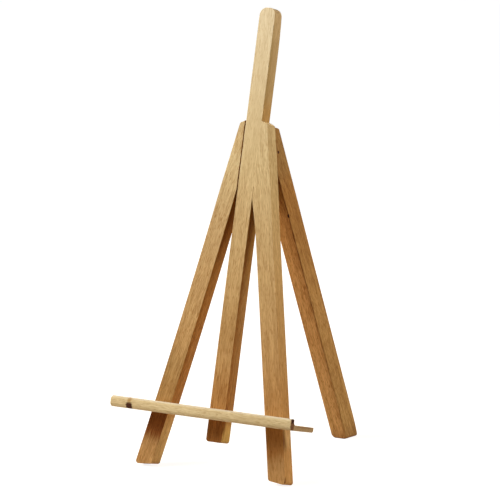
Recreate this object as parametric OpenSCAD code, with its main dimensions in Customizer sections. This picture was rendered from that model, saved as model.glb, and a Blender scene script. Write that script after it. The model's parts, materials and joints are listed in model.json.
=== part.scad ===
// Tabletop display easel: a leaning front frame of three boards, a ledge for
// the picture, and a rear leg that swings on a cross pin.
//
// Places on the front frame are given as u, v and w: u across, v up the front
// face from the front corners of the feet, and w back from that face.

/* [Front frame] */
// Angle by which the frame leans back from upright
lean = 12.5; // [6:0.5:20]
// Thickness of the three front boards
board_t = 14; // [10:0.5:22]
// Width of the centre post
post_w = 19; // [14:0.5:30]
// Height of the post above the tops of the front legs
post_rise = 114; // [40:0.5:250]
// Length of the post below the ledge
post_tail = 22.5; // [5:0.5:40]
// Radius of the post's top corners
post_round = 8; // [1:0.5:12]

/* [Front legs] */
// Width of each front leg
leg_w = 20; // [14:0.5:28]
// Angle of each front leg away from the post
splay = 12.1; // [9:0.1:16]
// Width of the top end of each front leg beside the post
leg_head = 7.05; // [3:0.05:12]
// Height of the tops of the front legs
leg_top = 355; // [280:1:480]
// Fall of each front leg's top end, from the post to its outer corner
head_fall = 3; // [1:0.5:8]
// Radius of that outer corner
leg_round = 2.5; // [1:0.5:12]
// Angle of the foot cut, which leaves the outer corner lowest
foot_cut = 6; // [0:0.5:12]
// Radius of the corners of the front feet and of the post's lower end
foot_round = 3; // [0.5:0.5:5]
// Width of the open line along the front of the left leg's joint
seam_w = 0.8; // [0.2:0.1:1.5]
// Depth of that open line
seam_depth = 1.5; // [0.5:0.1:3]

/* [Ledge] */
// Length of the ledge past the outside of the left leg
ledge_left = 22.8; // [5:0.1:60]
// Length of the ledge past the outside of the right leg
ledge_right = 35.8; // [5:0.1:60]
// Height of the underside of the ledge
ledge_v = 54.5; // [45:0.5:120]
// Depth of the ledge from the boards to the front of its lip
ledge_d = 40.5; // [28:0.5:60]
// Thickness of the shelf
shelf_t = 5; // [4:0.5:8]
// Height of the lip above the shelf
lip_rise = 6.2; // [3:0.2:15]
// Thickness of the lip
lip_t = 5.6; // [3:0.2:10]
// Radius of the front edges of the lip
lip_round = 4; // [1:0.5:6]
// Radius of the inner top edge of the lip
lip_ease = 1.2; // [0.4:0.2:2]
// Radius of the hollow where the lip meets the shelf
cove_r = 3.6; // [1:0.2:6]

/* [Rear leg] */
// Width of the rear leg
rear_w = 19; // [15:0.5:28]
// Depth of the rear leg
rear_d = 20.8; // [16:0.2:28]
// Radius of the corners of the rear foot
rear_round = 4.5; // [0.5:0.5:7]
// Angle between the rear leg and the frame when it stands open
open_angle = 36.2; // [28:0.2:42]
// Height of the leg's bevel, which stops it against the back of the post
stop_h = 11.2; // [4:0.2:20]

/* [Hinge] */
// Distance of the hinge pin below the tops of the front legs
pin_drop = 26.7; // [20:0.1:40]
// Distance of the hinge pin behind the backs of the boards
pin_back = 22.1; // [19:0.1:28]
// Diameter of the hinge pin
pin_d = 2.5; // [2:0.1:4]
// Depth of each end of the pin below the side of the rear leg
pin_recess = 0.4; // [0:0.1:1]
// Thickness of the tongue that carries the pin
tongue_t = 6; // [4:0.5:8]
// Radius of the tongue's round end, half of its height
tongue_r = 9; // [6:0.5:12]
// Depth of the tongue's groove in the back of the post
tongue_let = 5; // [3:0.5:5.5]

/* [Fixings] */
// Diameter of the dowels that tie the legs to the post
dowel_d = 4; // [3:0.5:5]
// Depth of a dowel in each leg
dowel_in = 5; // [3:0.5:6]
// Distance of the upper dowel below the tops of the front legs
dowel_drop = 17; // [12:0.5:25]
// Distance of the lower dowel above the foot of the joint
dowel_rise = 18; // [10:0.5:25]
// Diameter of the ledge nails
nail_d = 1.6; // [1.2:0.1:2]
// Depth of the ledge nails in the shelf
nail_in = 16; // [10:1:20]
// Diameter of the nail heads
head_d = 3.4; // [2.6:0.2:4]
// Thickness of the nail heads
head_t = 1; // [0.5:0.1:1.5]

/* [Clearances] */
// Gap on each side of the tongue in the rear leg's slot
slot_clear = 0.3; // [0.2:0.05:0.6]
// Gap below the tongue at the root of that slot
root_clear = 1; // [0.5:0.5:3]
// Gap between the rear leg's bevel and the post when it stands open
stop_clear = 0.1; // [0.05:0.05:0.3]
// Radial gap between the pin and the tongue, which turns on it
run_clear = 0.05; // [0.02:0.01:0.1]
// Gap round glued and driven pieces
fit_clear = 0.02; // [0.01:0.01:0.05]

/* [Hidden] */

$fn = 64;

// Straight steps in each rounded corner
arc_steps = 12;

// Length by which cutting shapes pass the faces that they cut
over = 5;

// Share of a wall that a fillet may take
fullest = 0.98;

// Colours of the boards, the paler ledge, the dowels and the steel
board_colour = "burlywood";
ledge_colour = "wheat";
dowel_colour = "tan";
steel_colour = "dimgray";

// The distance of a frame place behind the feet's front corners, and its height
function frame_y(v, w) = v * sin(lean) + w * cos(lean);
function frame_z(v, w) = v * cos(lean) - w * sin(lean);

// Unit direction at an angle in a plane
function toward(angle) = [cos(angle), sin(angle)];

// Half of the angle between the edges from corner p to its neighbours
function half_angle(before, p, after) =
    let (a = before - p, b = after - p)
    acos(a * b / (norm(a) * norm(b))) / 2;

// Centre of the arc of radius r that rounds corner p
function arc_centre(before, p, after, r) =
    let (a = before - p, b = after - p, inward = a / norm(a) + b / norm(b))
    p + r / sin(half_angle(before, p, after)) * inward / norm(inward);

// Points of that arc, from the edge before the corner to the edge after it
function corner_arc(before, p, after, r) =
    let (
        half = half_angle(before, p, after),
        centre = arc_centre(before, p, after, r),
        start = p + r / tan(half) * (before - p) / norm(before - p) - centre,
        turn = cross(p - before, after - p) > 0 ? 180 - 2 * half : 2 * half - 180
    )
    [for (i = [0:arc_steps])
        let (angle = atan2(start[1], start[0]) + turn * i / arc_steps)
        centre + r * toward(angle)];

// An outline of [point, radius] corners as the points of a polygon
function rounded(corners) =
    let (n = len(corners))
    [for (i = [0:n - 1])
        let (p = corners[i][0], r = corners[i][1])
        each (r > 0 ? corner_arc(corners[(i + n - 1) % n][0], p, corners[(i + 1) % n][0], r) : [p])];

// Corners of the right leg's outline, from its outer foot corner
post_half = post_w / 2;
foot_half = post_half + leg_head + (leg_top - head_fall) * tan(splay);
fork_v = (foot_half - post_half - leg_w / cos(splay)) / tan(splay);
foot_outer = [foot_half, 0];
foot_inner = foot_outer + leg_w / cos(splay + foot_cut) * toward(180 - foot_cut);
fork_point = [post_half, fork_v];
top_inner = [post_half, leg_top];
top_outer = [post_half + leg_head, leg_top - head_fall];

// Radii of the top corners, within the widths of the tops
leg_corner = min(leg_round, fullest * leg_head * tan(half_angle(top_inner, top_outer, foot_outer)));
post_corner = min(post_round, fullest * post_half);

// The feet stand on the rounded outer corners of their back edges
foot_low_v = arc_centre(foot_inner, foot_outer, top_outer, foot_round)[1] - foot_round;
floor_lift = -frame_z(foot_low_v, board_t);

// Ends of the post
post_top = leg_top + post_rise;
post_bottom = ledge_v - post_tail;

// Ends and middle of the ledge, across the frame
leg_edge_u = foot_half - ledge_v * tan(splay);
ledge_len = 2 * leg_edge_u + ledge_left + ledge_right;
ledge_mid = (ledge_right - ledge_left) / 2;

// Heights of the ledge's shelf and lip, and its radii within their walls
shelf_top = ledge_v + shelf_t;
lip_top = shelf_top + lip_rise;
lip_back = lip_t - ledge_d;
lip_corner = min(lip_round, fullest * (lip_top - ledge_v) / 2, fullest * fullest * lip_t);
lip_inner = min(lip_ease, fullest * (lip_t - lip_corner));
hollow_r = min(cove_r, fullest * (lip_rise - lip_inner));

// The hinge pin, as [w, v]
pin_v = leg_top - pin_drop;
pin_w = board_t + pin_back;
pin_place = [pin_w, pin_v];

// Angle of the rear leg from upright when it stands open
rear_lean = open_angle - lean;

// Place on the rear leg as [w, v]: across its depth from the pin's centre line,
// and down along the leg from the pin
function rear_place(across, down) = [
    pin_w + across * cos(open_angle) + down * sin(open_angle),
    pin_v + across * sin(open_angle) - down * cos(open_angle)
];

// Faces of the rear leg, across its depth
rear_back = rear_d / 2;
rear_front = -rear_d / 2;

// The bevel lies along the post's back, from where the leg's front face meets it
stop_w = board_t + stop_clear;
stop_low = rear_place(rear_front, (stop_w - rear_place(rear_front, 0)[0]) / sin(open_angle));
rear_top = stop_low[1] + stop_h;

// Distances down the rear leg to its top end and to the floor
function down_to_top(across) = (rear_place(across, 0)[1] - rear_top) / cos(open_angle);
function down_to_floor(across) =
    (frame_z(rear_place(across, 0)[1], rear_place(across, 0)[0]) + floor_lift) / cos(rear_lean);

// Middle of the easel's footprint, between the ledge's lip and the rear foot
sole_back = rear_place(rear_back, down_to_floor(rear_back));
sole_y = frame_y(sole_back[1], sole_back[0]);
lip_y = frame_y(ledge_v + lip_corner, lip_corner - ledge_d) - lip_corner;
mid_y = (lip_y + sole_y) / 2;

// The dowels lie in the wood in front of the tongue's groove
dowel_w = (board_t - tongue_let) / 2;
dowel_heights = [fork_v + dowel_rise, leg_top - dowel_drop];

// Places of the ledge nails across the frame, in the two legs and the post
nail_v = ledge_v + shelf_t / 2;
leg_mid_u = foot_half - nail_v * tan(splay) - leg_w / cos(splay) / 2;
nail_places = [-leg_mid_u, 0, leg_mid_u];

// Places what is drawn as u, v and -w on the leaning frame
module on_frame() {
    translate([-ledge_mid, -mid_y, floor_lift])
        rotate([90 - lean, 0, 0])
            children();
}

// A front board of the outline below
module board() {
    translate([0, 0, -board_t])
        linear_extrude(board_t)
            children();
}

// Sweeps a [w, v] profile across the frame, centred on the post
module across_frame(length) {
    rotate([0, 90, 0])
        translate([0, 0, -length / 2])
            linear_extrude(length)
                children();
}

// Round bar across the frame at [w, v], centred on the post
module cross_bar(place, d, length) {
    rotate([0, 90, 0])
        translate([place[0], place[1], -length / 2])
            cylinder(h = length, d = d);
}

// Outline of the centre post
module post_outline() {
    polygon(rounded([
        [[-post_half, post_bottom], foot_round],
        [[post_half, post_bottom], foot_round],
        [[post_half, post_top], post_corner],
        [[-post_half, post_top], post_corner]
    ]));
}

// Outline of the right leg, mitred against the post
module leg_outline() {
    polygon(rounded([
        [foot_outer, foot_round],
        [top_outer, leg_corner],
        [top_inner, 0],
        [fork_point, 0],
        [foot_inner, foot_round]
    ]));
}

// Holes for the dowels through the post and into the legs
module dowel_holes() {
    for (v = dowel_heights)
        cross_bar([dowel_w, v], dowel_d + 2 * fit_clear, post_w + 2 * (dowel_in + fit_clear));
}

// One ledge nail, driven from the back, grown by a gap
module nail(gap) {
    translate([0, 0, -board_t - gap]) {
        cylinder(h = head_t + 2 * gap, d = head_d + 2 * gap);
        cylinder(h = board_t + nail_in + 2 * gap, d = nail_d + 2 * gap);
    }
}

// All the ledge nails, grown by a gap
module nails(gap) {
    for (u = nail_places)
        translate([u, nail_v, 0])
            nail(gap);
}

module leg() {
    difference() {
        board()
            leg_outline();
        dowel_holes();
        nails(fit_clear);
    }
}

module post() {
    color(board_colour)
        on_frame()
            difference() {
                board()
                    post_outline();
                dowel_holes();
                nails(fit_clear);
                translate([-tongue_t / 2 - fit_clear, pin_v - tongue_r - fit_clear, -board_t - over])
                    cube([tongue_t + 2 * fit_clear, 2 * (tongue_r + fit_clear), tongue_let + fit_clear + over]);
            }
}

module right_leg() {
    color(board_colour)
        on_frame()
            leg();
}

module left_leg() {
    color(board_colour)
        on_frame()
            mirror([1, 0, 0])
                difference() {
                    leg();
                    translate([post_half - over, fork_v - over, -seam_depth])
                        cube([seam_w + over, leg_top - fork_v + 2 * over, seam_depth + over]);
                }
}

// Profile of the ledge as [w, v]: a shelf and a lip with a hollow between them
module ledge_profile() {
    polygon(rounded([
        [[-ledge_d, ledge_v], lip_corner],
        [[0, ledge_v], 0],
        [[0, shelf_top], 0],
        [[lip_back, shelf_top], hollow_r],
        [[lip_back, lip_top], lip_inner],
        [[-ledge_d, lip_top], lip_corner]
    ]));
}

module ledge() {
    color(ledge_colour)
        on_frame()
            difference() {
                translate([ledge_mid, 0, 0])
                    across_frame(ledge_len)
                        ledge_profile();
                nails(fit_clear);
            }
}

// The tongue is let into the post and carries the pin in its round end
module hinge_tongue() {
    color(board_colour)
        on_frame()
            difference() {
                across_frame(tongue_t)
                    union() {
                        translate([board_t - tongue_let, pin_v - tongue_r])
                            square([pin_back + tongue_let, 2 * tongue_r]);
                        translate(pin_place)
                            circle(tongue_r);
                    }
                cross_bar(pin_place, pin_d + 2 * run_clear, tongue_t + 2 * over);
            }
}

// Side view of the rear leg as [w, v], past the floor: its top end is square to
// the frame and its upper front lies along the post
module rear_profile() {
    polygon([
        stop_low,
        [stop_w, rear_top],
        rear_place(rear_back, down_to_top(rear_back)),
        rear_place(rear_back, down_to_floor(rear_back) + over),
        rear_place(rear_front, down_to_floor(rear_front) + over)
    ]);
}

// Front view of the rear leg, with its sole on the floor
module rear_outline() {
    half = rear_w / 2;
    head = frame_z(rear_top, 0) + floor_lift + over;
    polygon(rounded([
        [[-half, 0], rear_round],
        [[half, 0], rear_round],
        [[half, head], 0],
        [[-half, head], 0]
    ]));
}

// The rear leg before its slot and its pin hole are cut
module rear_blank() {
    intersection() {
        on_frame()
            across_frame(rear_w + 2 * over)
                rear_profile();
        translate([-ledge_mid, sole_y - mid_y + over, 0])
            rotate([90, 0, 0])
                linear_extrude(sole_y + 2 * over)
                    rear_outline();
    }
}

module rear_leg() {
    slot_w = tongue_t + 2 * slot_clear;
    slot_root = tongue_r + root_clear;
    color(board_colour)
        difference() {
            rear_blank();
            on_frame() {
                across_frame(slot_w)
                    translate(pin_place)
                        rotate(open_angle)
                            translate([-rear_d, -slot_root])
                                square([2 * rear_d, slot_root + rear_top - pin_v + rear_d]);
                cross_bar(pin_place, pin_d + 2 * fit_clear, rear_w + 2 * over);
            }
        }
}

module hinge_pin() {
    color(steel_colour)
        on_frame()
            cross_bar(pin_place, pin_d, rear_w - 2 * pin_recess);
}

module frame_dowels() {
    color(dowel_colour)
        on_frame()
            for (v = dowel_heights)
                cross_bar([dowel_w, v], dowel_d, post_w + 2 * dowel_in);
}

module ledge_nails() {
    color(steel_colour)
        on_frame()
            nails(0);
}

post();
left_leg();
right_leg();
ledge();
hinge_tongue();
rear_leg();
hinge_pin();
frame_dowels();
ledge_nails();
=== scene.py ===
"""Looks for a small wooden display easel: eased boards, beech-like grain, soft studio light and the camera.

Places on the leaning front frame are given as u, v and w in millimetres: u across, v up the front
face from the front corners of the feet, and w back from that face.
"""

import json
import math

import bmesh
import bpy
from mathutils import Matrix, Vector


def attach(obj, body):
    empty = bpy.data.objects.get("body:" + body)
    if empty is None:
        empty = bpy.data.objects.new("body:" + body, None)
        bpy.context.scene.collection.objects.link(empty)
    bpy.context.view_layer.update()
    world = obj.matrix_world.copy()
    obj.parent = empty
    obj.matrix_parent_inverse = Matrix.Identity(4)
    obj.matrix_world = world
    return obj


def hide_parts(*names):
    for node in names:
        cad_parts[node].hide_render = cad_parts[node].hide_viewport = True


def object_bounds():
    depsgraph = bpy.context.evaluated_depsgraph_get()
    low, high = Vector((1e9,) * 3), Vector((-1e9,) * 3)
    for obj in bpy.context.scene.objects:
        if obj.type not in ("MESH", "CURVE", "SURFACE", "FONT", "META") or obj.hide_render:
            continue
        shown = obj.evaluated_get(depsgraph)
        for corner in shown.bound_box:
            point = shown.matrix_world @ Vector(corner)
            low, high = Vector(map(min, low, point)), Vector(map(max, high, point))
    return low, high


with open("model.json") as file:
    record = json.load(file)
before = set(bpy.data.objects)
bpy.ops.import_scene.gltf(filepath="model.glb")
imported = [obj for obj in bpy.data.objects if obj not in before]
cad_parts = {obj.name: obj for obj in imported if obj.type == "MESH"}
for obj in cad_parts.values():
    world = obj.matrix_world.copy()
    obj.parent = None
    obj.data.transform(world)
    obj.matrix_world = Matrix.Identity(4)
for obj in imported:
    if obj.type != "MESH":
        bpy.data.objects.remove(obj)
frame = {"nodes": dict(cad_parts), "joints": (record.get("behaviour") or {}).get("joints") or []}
cad_low, cad_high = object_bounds()

MM = 0.001

# Sizes of the model, in millimetres and degrees
LEAN = math.radians(12.5)
SPLAY = math.radians(12.1)
OPEN_ANGLE = math.radians(36.2)
POST_HALF = 9.5
LEG_TOP = 355.0
LEG_HEAD = 7.05
HEAD_FALL = 3.0
LEG_W = 20.0
PIN_V = 328.3
PIN_W = 36.1
LEDGE_V = 54.5
SHELF_T = 5.0
BOARD_T = 14.0
POST_TOP = 469.0
POST_ROUND = 8.0
REAR_HALF_W = 9.5
REAR_HALF_D = 10.4
REAR_ROUND = 4.5
FOOT_HALF = POST_HALF + LEG_HEAD + (LEG_TOP - HEAD_FALL) * math.tan(SPLAY)
FORK_V = (FOOT_HALF - POST_HALF - LEG_W / math.cos(SPLAY)) / math.tan(SPLAY)
NAIL_V = LEDGE_V + SHELF_T / 2
NAIL_U = FOOT_HALF - NAIL_V * math.tan(SPLAY) - LEG_W / math.cos(SPLAY) / 2
HEIGHT = cad_high.z

# Directions of u, v and w, and the frame's zero point, found from the hinge pin
RIGHT = Vector((1, 0, 0))
UP = Vector((0, math.sin(LEAN), math.cos(LEAN)))
BACK = Vector((0, math.cos(LEAN), -math.sin(LEAN)))
HINGE = Vector(frame["joints"][0]["pos_m"])
ZERO = HINGE - (UP * PIN_V + BACK * PIN_W) * MM


def place(u, v, w):
    """A place on the front frame as a point of the model."""
    return ZERO + (RIGHT * u + UP * v + BACK * w) * MM


class Board:
    """Where a board lies: a point on it, and the directions across, through and along it."""

    def __init__(self, origin, across, depth, along):
        self.origin = origin
        self.across = across
        self.depth = depth
        self.along = along


LEAN_IN = UP * math.cos(SPLAY) - RIGHT * math.sin(SPLAY)
LEAN_OUT = UP * math.cos(SPLAY) + RIGHT * math.sin(SPLAY)
ACROSS_IN = RIGHT * math.cos(SPLAY) + UP * math.sin(SPLAY)
ACROSS_OUT = RIGHT * math.cos(SPLAY) - UP * math.sin(SPLAY)
REAR_ALONG = UP * math.cos(OPEN_ANGLE) - BACK * math.sin(OPEN_ANGLE)
REAR_DEPTH = BACK * math.cos(OPEN_ANGLE) + UP * math.sin(OPEN_ANGLE)

BOARDS = {
    "post": Board(place(0, 0, 0), RIGHT, BACK, UP),
    "left_leg": Board(place(-FOOT_HALF, 0, 0), ACROSS_OUT, BACK, LEAN_OUT),
    "right_leg": Board(place(FOOT_HALF, 0, 0), ACROSS_IN, BACK, LEAN_IN),
    "ledge": Board(place(0, LEDGE_V, 0), BACK, UP, RIGHT),
    "hinge_tongue": Board(HINGE, RIGHT, UP, BACK),
    "rear_leg": Board(HINGE, RIGHT, REAR_DEPTH, REAR_ALONG),
    "frame_dowels": Board(place(0, LEG_TOP, 0), UP, BACK, RIGHT),
}


def on_board(name, across, depth, along):
    """A place on a board, in millimetres from its origin."""
    board = BOARDS[name]
    return board.origin + (board.across * across + board.depth * depth + board.along * along) * MM


# Pieces

EASE = 0.5 * MM
BACK_EASE = 1.4 * MM
SOLE_EASE = 1.4 * MM
FRONT_EASE = 1.8 * MM
TOP_EASE = 3.0 * MM
HEAD_EASE = 1.4 * MM
EASE_STEPS = 5
ROUND_PROFILE = 0.5
WELD = 0.001 * MM
SHARP = math.radians(30)
FLAT = math.radians(0.5)
NARROW = 1.5 * MM
TOUCH = 0.02 * MM


def on_plane(edge, point, normal):
    """Whether both ends of an edge lie on a plane."""
    return all(abs((vert.co - point).dot(normal)) < TOUCH for vert in edge.verts)


def bounds_all(face, verts):
    """Whether the whole piece lies behind a face's plane."""
    return all((vert.co - face.verts[0].co).dot(face.normal) < TOUCH for vert in verts)


def is_arris(edge, verts):
    """Whether an edge is a sharp outer edge of a piece."""
    if len(edge.link_faces) != 2 or edge.calc_face_angle() < SHARP:
        return False
    return all(bounds_all(face, verts) for face in edge.link_faces)


def is_narrow(face):
    """Whether a face is one of the narrow strips that make up a rounded edge."""
    return face.calc_area() < NARROW * max(edge.calc_length() for edge in face.edges)


def eased(node, body, passes, cuts=(), bend=None):
    """A copy of a node with its edges eased, which stands for the node.

    Each pass picks edges and has a width. The cuts are planes that split the faces. A bend says how far
    a point moves sideways.
    """
    shape = bmesh.new()
    shape.from_mesh(frame["nodes"][node].data)
    bmesh.ops.remove_doubles(shape, verts=shape.verts, dist=WELD)
    bmesh.ops.dissolve_limit(shape, angle_limit=FLAT, verts=shape.verts, edges=shape.edges)
    for point, normal in cuts:
        everything = shape.verts[:] + shape.edges[:] + shape.faces[:]
        bmesh.ops.bisect_plane(shape, geom=everything, plane_co=point, plane_no=normal)
    for chosen, width in passes:
        shape.normal_update()
        verts = list(shape.verts)
        edges = [edge for edge in shape.edges if chosen(edge, verts)]
        bmesh.ops.bevel(
            shape,
            geom=edges,
            offset=width,
            segments=EASE_STEPS,
            profile=ROUND_PROFILE,
            affect="EDGES",
            clamp_overlap=True,
        )
    if bend:
        for vert in shape.verts:
            vert.co += RIGHT * bend((vert.co - ZERO) / MM) * MM
    narrow = [is_narrow(face) for face in shape.faces]
    mesh = bpy.data.meshes.new(node + "_eased")
    shape.to_mesh(mesh)
    shape.free()
    mesh.attributes.remove(mesh.attributes["custom_normal"])
    mesh.set_sharp_from_angle(angle=SHARP)
    mesh.polygons.foreach_set("use_smooth", narrow)
    piece = bpy.data.objects.new(node + "_eased", mesh)
    bpy.context.scene.collection.objects.link(piece)
    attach(piece, body)
    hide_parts(node)
    return piece


def post_edges(edge, verts):
    """The post's arrises, except where the legs are glued to it."""
    middle = (edge.verts[0].co + edge.verts[1].co) / 2
    height = (middle - ZERO).dot(UP) / MM
    glued = FORK_V < height < LEG_TOP
    return is_arris(edge, verts) and not glued


def top_edges(edge, verts):
    """The edges round the back of the post's top end."""
    high = all((vert.co - ZERO).dot(UP) / MM > POST_TOP - POST_ROUND - TOUCH / MM for vert in edge.verts)
    return high and on_plane(edge, place(0, 0, BOARD_T), BACK)


def leg_edges(side):
    """Picks a leg's arrises, except those of its joint. Side is 1 for the right leg and -1 for the left."""

    def chosen(edge, verts):
        joint = on_plane(edge, place(side * POST_HALF, 0, 0), RIGHT)
        return is_arris(edge, verts) and not joint

    return chosen


def end_edges(edge, verts):
    """The edges round both ends of the ledge."""
    if len(edge.link_faces) != 2 or edge.calc_face_angle() < SHARP:
        return False
    ends = (min(vert.co.x for vert in verts), max(vert.co.x for vert in verts))
    return any(on_plane(edge, Vector((end, 0, 0)), RIGHT) for end in ends)


def back_edges(edge, verts):
    """The long edges of the ledge's back."""
    return is_arris(edge, verts) and on_plane(edge, ZERO, BACK) and not end_edges(edge, verts)


def head_edges(edge, verts):
    """The edges round the top end of the rear leg."""
    top = max(verts, key=lambda vert: vert.co.dot(UP))
    return is_arris(edge, verts) and on_plane(edge, top.co, UP)


def front_edges(edge, verts):
    """The edges round the front of the rear leg."""
    return is_arris(edge, verts) and on_plane(edge, on_board("rear_leg", 0, -REAR_HALF_D, 0), REAR_DEPTH)


def sole_edges(edge, verts):
    """The edges where the rear leg's back meets its sole and the rounded corners of its foot."""
    low = all(vert.co.z < REAR_ROUND * MM + TOUCH for vert in edge.verts)
    return low and on_plane(edge, on_board("rear_leg", 0, REAR_HALF_D, 0), REAR_DEPTH)


# The left leg's bow in millimetres, and the number of planes that let it bend
BOW = 1.0
BOW_MIDDLE = (FORK_V + NAIL_V) / 2
BOW_REACH = FORK_V - BOW_MIDDLE
BOW_STEPS = 12


def left_bow(point):
    """How far the left leg bows to the right at a point. Its joint and its nail hole stay put."""
    height = min(point.dot(UP), FORK_V)
    return BOW * (1 - ((height - BOW_MIDDLE) / BOW_REACH) ** 2)


# The web in the right fork: its length on the post, its whole length and its depth behind the boards' faces
WEB_SIDE = 12.5
WEB_LENGTH = 48.0
WEB_INSET = 0.3

# How much closer to the post the right leg stands below the web, and how far round its nail it stays put
RIGHT_SET = 0.5
NAIL_REACH = 4.0


def right_set(point):
    """How far the right leg stands to the right of its line at a point. Its joint and nail hole stay put."""
    across = point.dot(RIGHT)
    height = point.dot(UP)
    if math.hypot(across - NAIL_U, height - NAIL_V) < NAIL_REACH:
        return 0.0
    below = (FORK_V - height) / WEB_LENGTH
    return -RIGHT_SET * min(max(below, 0.0), 1.0)


def right_web():
    """The web of wood that closes the tip of the fork between the post and the right leg."""
    outer = POST_HALF + WEB_LENGTH * math.tan(SPLAY) - RIGHT_SET
    outline = [(POST_HALF, FORK_V), (POST_HALF, FORK_V - WEB_SIDE), (outer, FORK_V - WEB_LENGTH)]
    points = [place(u, v, w) for w in (WEB_INSET, BOARD_T - WEB_INSET) for u, v in outline]
    sides = [(0, 3, 4, 1), (1, 4, 5, 2), (2, 5, 3, 0)]
    mesh = bpy.data.meshes.new("right_leg_web")
    mesh.from_pydata(points, [], [(0, 1, 2), (5, 4, 3)] + sides)
    piece = bpy.data.objects.new("right_leg_web", mesh)
    bpy.context.scene.collection.objects.link(piece)
    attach(piece, "front_frame")
    return piece


# Materials


class Graph:
    """Makes the nodes of one material."""

    def __init__(self, name):
        self.material = bpy.data.materials.new(name)
        self.material.use_nodes = True
        self.tree = self.material.node_tree
        self.shader = self.tree.nodes["Principled BSDF"]

    def put(self, socket, value):
        """Links a socket to another one, or sets its value."""
        if isinstance(value, bpy.types.NodeSocket):
            self.tree.links.new(value, socket)
        else:
            socket.default_value = value

    def node(self, kind, inputs, **settings):
        """A node with these settings and inputs, by name or number."""
        made = self.tree.nodes.new("ShaderNode" + kind)
        for name, value in settings.items():
            setattr(made, name, value)
        for key, value in inputs.items():
            self.put(made.inputs[key], value)
        return made

    def math(self, operation, *values):
        return self.node("Math", dict(enumerate(values)), operation=operation).outputs[0]

    def vector(self, operation, *values):
        made = self.node("VectorMath", dict(enumerate(values)), operation=operation)
        return made.outputs["Value" if operation in ("DOT_PRODUCT", "LENGTH") else "Vector"]

    def noise(self, position, detail=0.0, roughness=0.5):
        inputs = {"Vector": position, "Scale": 1.0, "Detail": detail, "Roughness": roughness}
        return self.node("TexNoise", inputs).outputs["Fac"]

    def span(self, value, low, high, start=0.0, end=1.0):
        """The value's place between low and high, clamped and eased, as a value from start to end."""
        inputs = {"Value": value, "From Min": low, "From Max": high, "To Min": start, "To Max": end}
        return self.node("MapRange", inputs, interpolation_type="SMOOTHSTEP").outputs["Result"]

    def mix(self, factor, first, second):
        """Two colours mixed by a factor."""
        return self.node("Mix", {0: factor, 6: first, 7: second}, data_type="RGBA").outputs[2]

    def tint(self, colour, other):
        """A colour multiplied by another one, given as a socket or as a plain colour."""
        if not isinstance(other, bpy.types.NodeSocket):
            other = opaque(other)
        inputs = {0: 1.0, 6: colour, 7: other}
        return self.node("Mix", inputs, data_type="RGBA", blend_type="MULTIPLY").outputs[2]

    def ramp(self, value, stops):
        """A colour from stops of (place, colour)."""
        made = self.node("ValToRGB", {"Fac": value})
        elements = made.color_ramp.elements
        while len(elements) < len(stops):
            elements.new(1.0)
        for element, (spot, colour) in zip(elements, stops):
            element.position = spot
            element.color = (*colour, 1.0)
        return made.outputs["Color"]


def opaque(colour):
    return (*colour, 1.0)


class Mark:
    """A knot, streak, patch of painted shade or patch of painted light in the wood: its middle, how far it
    reaches each way and its tint.

    The core is the share of it that is even. A mark with a facing lies only on the faces that look
    that way.
    """

    def __init__(self, middle, reaches, tint, core=0.6, facing=None):
        self.middle = middle
        self.reaches = reaches
        self.tint = tint
        self.core = core
        self.facing = facing


class Look:
    """How a board looks: tones by height, tints of its edges and ends, its grain and its marks.

    The tones by height partly paint the fall of light from the top, the edge tints on the side faces
    are painted shade and light, and the legs' paler end tint is a painted highlight. The contrast of
    the grain is given for its lower and its upper part. The slope is that of the fibres.
    """

    def __init__(self, seed, tones, edge, end, contrast, slope, marks=()):
        self.seed = seed
        self.tones = tones
        self.edge = edge
        self.end = end
        self.contrast = contrast
        self.slope = slope
        self.marks = marks


# How far apart the boards lie in the grain, and the sizes of its parts across and along it, in millimetres
SEED_STEP = Vector((31.7, 17.3, 411.0))
BAND_SIZE = (4.5, 90.0)
STREAK_SIZE = (0.75, 11.0)
FLECK_SIZE = (0.6, 5.0)

# Strength and tints of the grain
BAND_SHARE = 0.3
FLECK_RANGE = (0.58, 0.72)
FLECK_DEPTH = 0.7
FLECK_TONE = (0.70, 0.58, 0.45)
FIGURE_TINTS = [(0.34, (0.78, 0.71, 0.62)), (0.66, (1.18, 1.22, 1.28))]
CONTRAST_HEIGHTS = (0.45, 0.8)

# How far a face has to turn to count as a side or an end, and how square and ragged the marks are
SIDE_TURN = (0.5, 0.9)
END_TURN = (0.35, 0.7)
SQUARENESS = 4.0
RAGGED = 0.6

# Surfaces
NOISE_RANGE = (0.3, 0.7)
WOOD_ROUGHNESS = (0.52, 0.66)
WOOD_SHINE = 0.06
RELIEF = 0.15 * MM
RELIEF_STRENGTH = 0.25
STEEL_TINTS = [(0.35, (0.025, 0.008, 0.004)), (0.65, (0.08, 0.03, 0.015))]
STEEL_SPOTS = Vector((900, 900, 900))
STEEL_ROUGHNESS = (0.4, 0.65)
STEEL_METAL = 0.15
STEEL_SHINE = 0.1


def marked(graph, local, normal, grain, mark):
    """How much a place belongs to a mark: 1 in its core, and 0 past its ragged edge."""
    apart = graph.vector("SUBTRACT", local, mark.middle)
    total = 0.0
    for way, reach in mark.reaches:
        share = graph.math("ABSOLUTE", graph.vector("DOT_PRODUCT", apart, way / (reach * MM)))
        total = graph.math("ADD", graph.math("POWER", share, SQUARENESS), total)
    far = graph.math("SUBTRACT", graph.math("POWER", total, 1 / SQUARENESS), RAGGED / 2)
    inside = graph.span(graph.math("MULTIPLY_ADD", grain, RAGGED, far), mark.core, 1.0, 1.0, 0.0)
    if mark.facing is None:
        return inside
    facing = graph.span(graph.vector("DOT_PRODUCT", normal, mark.facing), *SIDE_TURN)
    return graph.math("MULTIPLY", inside, facing)


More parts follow.
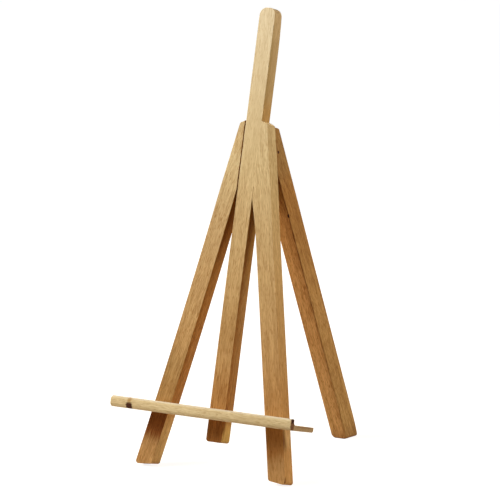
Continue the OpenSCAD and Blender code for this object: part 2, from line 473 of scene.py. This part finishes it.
def wood(name, board, look):
    """Sanded wood whose grain runs along the board, a little aslant, with painted light and shade in its
    colour.
    """
    graph = Graph(name)
    coordinates = graph.node("TexCoord", {})
    local = coordinates.outputs["Object"]
    offset = graph.vector("SUBTRACT", local, board.origin)
    axes = (board.across, board.depth, board.along)
    parts = [graph.vector("DOT_PRODUCT", offset, axis / MM) for axis in axes]
    drift = graph.math("MULTIPLY", parts[2], look.slope)
    inputs = {0: graph.math("ADD", parts[0], drift), 1: graph.math("ADD", parts[1], drift), 2: parts[2]}
    fibre = graph.vector("ADD", graph.node("CombineXYZ", inputs).outputs[0], SEED_STEP * look.seed)

    def cells(across, along):
        """The place in the wood, in cells of these sizes in millimetres."""
        return graph.vector("MULTIPLY", fibre, Vector((1 / across, 1 / across, 1 / along)))

    bands = graph.noise(cells(*BAND_SIZE), detail=1.0)
    streaks = graph.noise(cells(*STREAK_SIZE), detail=2.0, roughness=0.55)
    flecks = graph.span(graph.noise(cells(*FLECK_SIZE)), *FLECK_RANGE)

    height = graph.math("DIVIDE", graph.node("SeparateXYZ", {0: local}).outputs["Z"], HEIGHT)
    # Colour by height, which partly paints the fall of light from the top
    colour = graph.ramp(height, look.tones)
    normal = coordinates.outputs["Normal"]
    to_edge = graph.math("ABSOLUTE", graph.vector("DOT_PRODUCT", normal, board.across))
    to_end = graph.math("ABSOLUTE", graph.vector("DOT_PRODUCT", normal, board.along))
    # Painted shade and light: the side faces take the board's edge tint
    colour = graph.mix(graph.span(to_edge, *SIDE_TURN), colour, graph.tint(colour, look.edge))
    # The ends take the end tint: darker end grain, and on the legs a painted highlight
    colour = graph.mix(graph.span(to_end, *END_TURN), colour, graph.tint(colour, look.end))
    contrast = graph.span(height, *CONTRAST_HEIGHTS, *look.contrast)
    figure = graph.math("MULTIPLY_ADD", bands, BAND_SHARE, graph.math("MULTIPLY", streaks, 1 - BAND_SHARE))
    figure = graph.math("MULTIPLY_ADD", graph.math("SUBTRACT", figure, 0.5), contrast, 0.5)
    colour = graph.tint(colour, graph.ramp(figure, FIGURE_TINTS))
    depth = graph.math("MULTIPLY", graph.math("MULTIPLY", flecks, contrast), FLECK_DEPTH)
    colour = graph.mix(depth, colour, graph.tint(colour, FLECK_TONE))
    # Marks: knots and streaks, and patches of painted shade and light
    for mark in look.marks:
        share = marked(graph, local, normal, streaks, mark)
        colour = graph.mix(share, colour, graph.tint(colour, mark.tint))

    graph.put(graph.shader.inputs["Base Color"], colour)
    graph.put(graph.shader.inputs["Roughness"], graph.span(streaks, *NOISE_RANGE, *WOOD_ROUGHNESS))
    graph.shader.inputs["Specular IOR Level"].default_value = WOOD_SHINE
    relief = graph.math("SUBTRACT", streaks, flecks)
    bump = graph.node("Bump", {"Height": relief, "Strength": RELIEF_STRENGTH, "Distance": RELIEF})
    graph.put(graph.shader.inputs["Normal"], bump.outputs["Normal"])
    return graph.material


def steel(name):
    """Dull, darkened steel wire."""
    graph = Graph(name)
    local = graph.node("TexCoord", {}).outputs["Object"]
    spots = graph.noise(graph.vector("MULTIPLY", local, STEEL_SPOTS), detail=3.0)
    graph.put(graph.shader.inputs["Base Color"], graph.ramp(spots, STEEL_TINTS))
    graph.put(graph.shader.inputs["Roughness"], graph.span(spots, *NOISE_RANGE, *STEEL_ROUGHNESS))
    graph.shader.inputs["Metallic"].default_value = STEEL_METAL
    graph.shader.inputs["Specular IOR Level"].default_value = STEEL_SHINE
    return graph.material


# Stage, light and camera


def seen_directly(tree):
    """A factor that is 1 for what the camera sees, also in a mirror or through glass."""
    path = tree.nodes.new("ShaderNodeLightPath")
    total = path.outputs["Is Camera Ray"]
    for name in ("Is Glossy Ray", "Is Transmission Ray"):
        either = tree.nodes.new("ShaderNodeMath")
        either.operation = "MAXIMUM"
        tree.links.new(total, either.inputs[0])
        tree.links.new(path.outputs[name], either.inputs[1])
        total = either.outputs[0]
    return total


FLOOR_SIZE = 30.0
FLOOR_TONE = (0.55, 0.49, 0.42)
FLOOR_GLOW = 0.85
SHADOW_NEAR = 0.25
SHADOW_FAR = 0.7


def build_floor():
    """A pale floor that looks white and keeps a faint shadow near the easel."""
    bpy.ops.mesh.primitive_plane_add(size=FLOOR_SIZE)
    floor = bpy.context.object
    floor.name = "floor"
    graph = Graph("floor")
    shader = graph.shader
    shader.inputs["Base Color"].default_value = opaque(FLOOR_TONE)
    shader.inputs["Roughness"].default_value = 0.9
    shader.inputs["Specular IOR Level"].default_value = 0.0
    shader.inputs["Emission Color"].default_value = opaque((1, 1, 1))
    away = graph.vector("LENGTH", graph.node("TexCoord", {}).outputs["Object"])
    glow = graph.span(away, SHADOW_NEAR, SHADOW_FAR, FLOOR_GLOW, 1.0)
    graph.put(shader.inputs["Emission Strength"], graph.math("MULTIPLY", seen_directly(graph.tree), glow))
    floor.data.materials.append(graph.material)


ROOM_LIGHT = 0.02


def build_world():
    """A white room that lights the easel only a little."""
    world = bpy.data.worlds.new("studio")
    bpy.context.scene.world = world
    world.use_nodes = True
    tree = world.node_tree
    room = tree.nodes["Background"]
    room.inputs["Color"].default_value = opaque((1, 1, 1))
    strength = tree.nodes.new("ShaderNodeMapRange")
    tree.links.new(seen_directly(tree), strength.inputs["Value"])
    strength.inputs["To Min"].default_value = ROOM_LIGHT
    strength.inputs["To Max"].default_value = 1.0
    tree.links.new(strength.outputs["Result"], room.inputs["Strength"])


def aim(holder, position, target):
    """Puts a lamp or the camera at a place, facing a point."""
    bpy.context.scene.collection.objects.link(holder)
    holder.location = position
    holder.rotation_mode = "QUATERNION"
    holder.rotation_quaternion = (Vector(target) - Vector(position)).to_track_quat("-Z", "Y")


LAMP_TARGET = (0, 0, 0.27)


def softbox(name, position, size, power, colour=(1, 1, 1)):
    """A square lamp that faces the middle of the easel."""
    lamp = bpy.data.lights.new(name, "AREA")
    lamp.shape = "SQUARE"
    lamp.size = size
    lamp.energy = power
    lamp.color = colour
    aim(bpy.data.objects.new(name, lamp), position, LAMP_TARGET)


CAMERA_PLACE = HINGE + Vector((1.7154, -2.4693, 0.3154))
CAMERA_TARGET = HINGE + Vector((0.0, -0.0363, -0.0959))
CAMERA_LENS = 216.0
CAMERA_SENSOR = 36.0
CAMERA_RANGE = 50.0


def build_camera():
    data = bpy.data.cameras.new("camera")
    data.lens = CAMERA_LENS
    data.sensor_width = CAMERA_SENSOR
    data.clip_end = CAMERA_RANGE
    holder = bpy.data.objects.new("camera", data)
    aim(holder, CAMERA_PLACE, CAMERA_TARGET)
    bpy.context.scene.camera = holder


# Tones of the wood from the table up, as (share of the height, colour). They partly paint light
# and shade: the boards are paler towards the lit top, and the rear leg darker towards its shaded top.
BOARD_TONES = [
    (0.0, (0.595, 0.32, 0.112)),
    (0.18, (0.52, 0.275, 0.091)),
    (0.43, (0.575, 0.365, 0.15)),
    (0.68, (0.63, 0.465, 0.23)),
    (0.98, (0.665, 0.535, 0.325)),
]
REAR_TONES = [(0.02, (0.70, 0.37, 0.122)), (0.3, (0.67, 0.335, 0.106)), (0.6, (0.57, 0.255, 0.067))]
LEDGE_TONES = [(0.0, (0.76, 0.585, 0.31)), (1.0, (0.78, 0.605, 0.325))]

# Tints of marks in the wood; the seam and dark-grain tints also serve for painted shade
# Dark joint line of the left leg's seam, which also paints the shade inside the seam
SEAM_LINE_AND_SHADE = (0.30, 0.15, 0.04)
KNOT = (0.10, 0.045, 0.04)
LIP_TIP = (0.22, 0.11, 0.09)
# Dark streaks, a crack and the dark line on the rear leg's front edge, also used for the painted shade round
# the pin's end
DARK_GRAIN_AND_SHADE = (0.36, 0.25, 0.16)
STAIN = (0.72, 0.58, 0.42)

LEDGE_END = 116.1
ARRIS_REACH = 7.0


def front_shade(name, along, reach, tint):
    """A patch of painted shade on the front face of a board, or of painted light where the tint is above 1.
    """
    board = BOARDS[name]
    return Mark(on_board(name, 0, 0, along), [(board.along, reach)], tint, 0.4, -board.depth)


def side_shade(name, side, along, reach, tint):
    """A patch of painted shade on one side of a board, or of painted light where the tint is above 1. Side
    is 1 for the right side and -1 for the left.
    """
    board = BOARDS[name]
    return Mark(on_board(name, 0, 0, along), [(board.along, reach)], tint, 0.25, board.across * side)


def arris_shade(name, across, along, reach, tint):
    """A painted shade on the right side of a board, along its front edge."""
    board = BOARDS[name]
    reaches = [(board.depth, ARRIS_REACH), (board.along, reach)]
    return Mark(on_board(name, across, 0, along), reaches, tint, 0.2, board.across)


# The post's marks: painted shadow under the ledge and darker patches on the front, painted shade along the
# front edge and over the upper part of its right side, a warmer band, and painted light on the side below
# the ledge
POST_MARKS = [
    front_shade("post", 44, 24, (0.80, 0.60, 0.43)),
    front_shade("post", 76, 30, (0.90, 0.84, 0.76)),
    front_shade("post", 150, 34, (0.89, 0.86, 0.80)),
    side_shade("post", 1, 395, 75, (0.84, 0.83, 0.79)),
    side_shade("post", 1, 360, 26, (1.02, 0.92, 0.78)),
    arris_shade("post", POST_HALF, 405, 75, (0.84, 0.82, 0.72)),
    arris_shade("post", POST_HALF, 165, 150, (0.76, 0.64, 0.46)),
    arris_shade("post", POST_HALF, 54, 22, (0.50, 0.36, 0.24)),
    side_shade("post", 1, 36, 24, (1.4, 1.85, 1.95)),
]
# Painted shade in the forks, on both sides of the post
for side in (-1, 1):
    POST_MARKS.append(side_shade("post", side, FORK_V - 25, 115, (0.79, 0.69, 0.43)))
    POST_MARKS.append(side_shade("post", side, FORK_V, 34, (0.74, 0.69, 0.62)))
LEFT_CRACK = on_board("left_leg", LEG_W, 0, 12.5)
LEFT_MARKS = [
    # Dark joint line in the left leg's seam, which also paints the shade inside it
    Mark(place(-POST_HALF, FORK_V, 0), [(RIGHT, 1.8)], SEAM_LINE_AND_SHADE),
    # Painted light and shade on the front: a lighter foot, the shadow under the ledge and darker patches
    # higher up
    front_shade("left_leg", 16, 18, (1.09, 1.1, 1.12)),
    front_shade("left_leg", 47, 22, (0.64, 0.40, 0.26)),
    front_shade("left_leg", 88, 50, (0.87, 0.91, 0.91)),
    front_shade("left_leg", 228, 75, (0.92, 0.88, 0.86)),
    front_shade("left_leg", 347, 24, (0.91, 0.85, 0.77)),
    # Painted shade along the front edge of the inner side, in the fork and down the side; painted light on
    # the side at the foot
    arris_shade("left_leg", LEG_W, 190, 170, (0.80, 0.74, 0.56)),
    side_shade("left_leg", 1, 279, 75, (0.63, 0.53, 0.32)),
    side_shade("left_leg", 1, 225, 150, (0.88, 0.77, 0.57)),
    side_shade("left_leg", 1, 30, 42, (1.32, 1.78, 2.3)),
    Mark(LEFT_CRACK, [(ACROSS_OUT, 1.2), (BACK, 1.2), (LEAN_OUT, 5)], DARK_GRAIN_AND_SHADE, 0.3),
]
RIGHT_MARKS = [
    # Painted shadow under the ledge on the front, painted light and an edge shadow on the outer side below
    # the ledge, and painted shade in the fork on the inner side; the last mark is a dark streak at the foot
    front_shade("right_leg", 45, 25, (0.92, 0.76, 0.58)),
    side_shade("right_leg", 1, 47, 16, (1.0, 1.15, 1.4)),
    arris_shade("right_leg", 0, 47, 20, (0.38, 0.27, 0.16)),
    side_shade("right_leg", -1, 279, 100, (0.55, 0.38, 0.17)),
    Mark(place(FOOT_HALF - 1.5, 6, 0), [(RIGHT, 1.1), (UP, 9), (BACK, 1.6)], DARK_GRAIN_AND_SHADE, 0.3),
]
LEDGE_MARKS = [
    Mark(place(-79.6, 57.2, -39.5), [(RIGHT, 4.6), (UP, 3.9), (BACK, 6)], KNOT),
    Mark(place(-79.9, 63, -39), [(RIGHT, 3.2), (UP, 4.6), (BACK, 6)], STAIN, 0.3),
    # Darker end of the lip: partly end grain, partly painted shade
    Mark(place(LEDGE_END, 60, -37.7), [(RIGHT, 1), (UP, 9), (BACK, 3.6)], (0.42, 0.29, 0.23)),
    Mark(place(LEDGE_END, 59.3, -17), [(RIGHT, 1), (UP, 1.8), (BACK, 17)], (0.76, 0.66, 0.6), 0.5),
    Mark(place(LEDGE_END, 63.4, -37.8), [(RIGHT, 2), (UP, 2.6), (BACK, 2.4)], LIP_TIP),
    # Painted highlight along the top of the lip, and painted light on its underside
    Mark(place(0, 65.7, -38.5), [(UP, 2.4), (BACK, 6)], (1.04, 1.16, 1.5), 0.2),
    Mark(place(0, 55.2, -39.5), [(UP, 2.0), (BACK, 6)], (1.16, 1.16, 1.2), 0.2),
]
REAR_ARRIS = on_board("rear_leg", REAR_HALF_W, -REAR_HALF_D, -50)
REAR_KNOT = on_board("rear_leg", REAR_HALF_W, -REAR_HALF_D, -68.5)
PIN_END = on_board("rear_leg", REAR_HALF_W, 0, 0)
SOLE = Vector((0, 0, 0))
REAR_MARKS = [
    Mark(REAR_ARRIS, [(RIGHT, 1.35), (REAR_DEPTH, 1.35), (REAR_ALONG, 290)], DARK_GRAIN_AND_SHADE, 0.22),
    Mark(REAR_KNOT, [(RIGHT, 1.8), (REAR_DEPTH, 1.8), (REAR_ALONG, 2.8)], KNOT),
    # Painted shadow of the front frame on the top of the rear leg's front face
    Mark(on_board("rear_leg", 0, 0, -30), [(REAR_ALONG, 44)], (0.59, 0.54, 0.33), 0.3, -REAR_DEPTH),
    side_shade("rear_leg", 1, -2, 44, (0.88, 1.0, 1.22)),
    # Painted shade over the rear foot and along its sole
    Mark(on_board("rear_leg", 0, 0, -346), [(REAR_ALONG, 26)], (0.80, 0.75, 0.73), 0.2),
    Mark(SOLE, [(Vector((0, 0, 1)), 1.7)], (0.58, 0.48, 0.40), 0.3),
    # Painted shade: a dark ring round the pin's end
    Mark(PIN_END, [(RIGHT, 2), (REAR_DEPTH, 1.9), (REAR_ALONG, 1.9)], DARK_GRAIN_AND_SHADE),
]

# Tints of the ends of the boards: darker end grain, and on the legs a paler tint, a painted highlight of
# their lit top ends
END_GRAIN = (0.84, 0.76, 0.66)
LEG_END_LIGHT = (1.3, 1.28, 1.22)

# The third column, the edge tints on the side faces, is painted shade and light; the legs' pale end tint is
# a painted highlight
LOOKS = {
    "post": Look(1, BOARD_TONES, (1.01, 0.90, 0.74), (0.95, 0.9, 0.85), (1.15, 0.6), 0.004, POST_MARKS),
    "left_leg": Look(2, BOARD_TONES, (1.06, 0.91, 0.77), LEG_END_LIGHT, (1.2, 1.15), -0.012, LEFT_MARKS),
    "right_leg": Look(3, BOARD_TONES, (1.10, 1.08, 1.00), LEG_END_LIGHT, (1.0, 1.05), 0.008, RIGHT_MARKS),
    "ledge": Look(4, LEDGE_TONES, (1.0, 1.0, 1.0), (0.61, 0.53, 0.50), (0.8, 0.8), 0.006, LEDGE_MARKS),
    "hinge_tongue": Look(5, BOARD_TONES, (0.9, 0.8, 0.7), END_GRAIN, (1.0, 1.0), 0.0),
    "rear_leg": Look(6, REAR_TONES, (0.76, 0.82, 0.80), END_GRAIN, (1.6, 1.6), 0.004, REAR_MARKS),
    "frame_dowels": Look(7, BOARD_TONES, (1.0, 1.0, 1.0), END_GRAIN, (1.0, 1.0), 0.0),
}


def coat(thing, material):
    thing.data.materials.clear()
    thing.data.materials.append(material)


rear_passes = [
    (front_edges, FRONT_EASE),
    (sole_edges, SOLE_EASE),
    (head_edges, HEAD_EASE),
    (is_arris, EASE),
]
post_cuts = [(place(0, FORK_V, 0), UP), (place(0, LEG_TOP, 0), UP)]
set_cuts = [(place(0, FORK_V, 0), UP), (place(0, FORK_V - WEB_LENGTH, 0), UP)]
bow_cuts = [(place(0, FORK_V * (step + 1) / BOW_STEPS, 0), UP) for step in range(BOW_STEPS)]
pieces = {
    "post": eased("post", "front_frame", [(top_edges, TOP_EASE), (post_edges, EASE)], post_cuts),
    "left_leg": eased("left_leg", "front_frame", [(leg_edges(-1), EASE)], bow_cuts, left_bow),
    "right_leg": eased("right_leg", "front_frame", [(leg_edges(1), EASE)], set_cuts, right_set),
    "ledge": eased("ledge", "front_frame", [(back_edges, BACK_EASE), (end_edges, EASE)]),
    "hinge_tongue": eased("hinge_tongue", "front_frame", [(is_arris, EASE)]),
    "rear_leg": eased("rear_leg", "rear", rear_passes),
    "frame_dowels": frame["nodes"]["frame_dowels"],
}
for name, piece in pieces.items():
    coat(piece, wood(name + "_wood", BOARDS[name], LOOKS[name]))
coat(right_web(), bpy.data.materials["right_leg_wood"])
steel_wire = steel("steel_wire")
for name in ("hinge_pin", "ledge_nails"):
    coat(frame["nodes"][name], steel_wire)

build_floor()
build_world()
WARM = (1.0, 0.93, 0.85)
softbox("key", (-0.9, -1.2, 1.1), 0.7, 17.0)
softbox("top", (-0.3, -0.5, 0.85), 0.35, 3.4)
softbox("right_high", (1.2, 0.1, 1.2), 0.8, 8.7, WARM)
softbox("right_low", (1.3, 0.7, 0.25), 0.8, 8.0, WARM)
softbox("back", (-1.2, 1.3, 0.9), 1.0, 6.0)
build_camera()
bpy.context.scene.view_settings.view_transform = "Standard"
